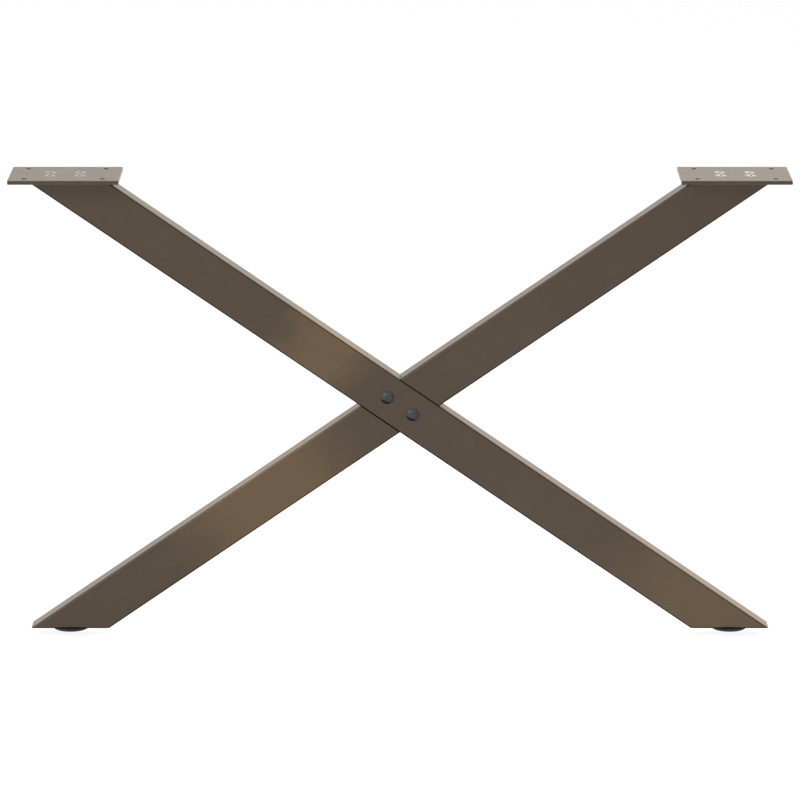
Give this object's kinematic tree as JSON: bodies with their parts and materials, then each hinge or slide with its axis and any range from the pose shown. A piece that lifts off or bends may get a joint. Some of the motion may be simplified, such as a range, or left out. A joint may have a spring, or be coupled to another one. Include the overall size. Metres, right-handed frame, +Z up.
{
  "type": "x shaped table leg",
  "caption": "X shaped table leg of crossed rectangular steel tubes halved into each other, with drilled fixing plates on top and levelling feet below.",
  "frame": {"origin": "on the floor, midway between the two feet", "axes": "+Z up, X along the spread of the leg, -Y towards the front face with the domed bolt heads"},
  "size_m": [1.2, 0.12, 0.726],
  "materials": {
    "bronze_coat": "satin bronze powder coat",
    "dark_steel": "dark polished steel",
    "bright_steel": "zinc plated steel",
    "black_plastic": "matt black moulding"
  },
  "bodies": {
    "frame": {"front_lap_tube": "bronze_coat", "back_lap_tube": "bronze_coat", "front_lap_plate": "bronze_coat", "back_lap_plate": "bronze_coat", "left_top_plate": "bronze_coat", "right_top_plate": "bronze_coat", "left_end_plate": "bronze_coat", "right_end_plate": "bronze_coat", "left_plate_screws": "bright_steel", "right_plate_screws": "bright_steel", "left_bottom_plate": "bronze_coat", "right_bottom_plate": "bronze_coat", "cross_bolts": "dark_steel", "cross_bolt_washers": "dark_steel", "cross_bolt_nuts": "dark_steel", "left_foot_nut": "bright_steel", "right_foot_nut": "bright_steel"},
    "left_foot": {"left_foot_stem": "bright_steel", "left_foot_pad": "black_plastic"},
    "right_foot": {"right_foot_stem": "bright_steel", "right_foot_pad": "black_plastic"}
  },
  "joints": [
    {"name": "left_foot_adjust", "type": "slide", "parent": "frame", "child": "left_foot", "axis": [0, 0, -1], "range_m": [0, 0.01]},
    {"name": "right_foot_adjust", "type": "slide", "parent": "frame", "child": "right_foot", "axis": [0, 0, -1], "range_m": [0, 0.01]}
  ]
}
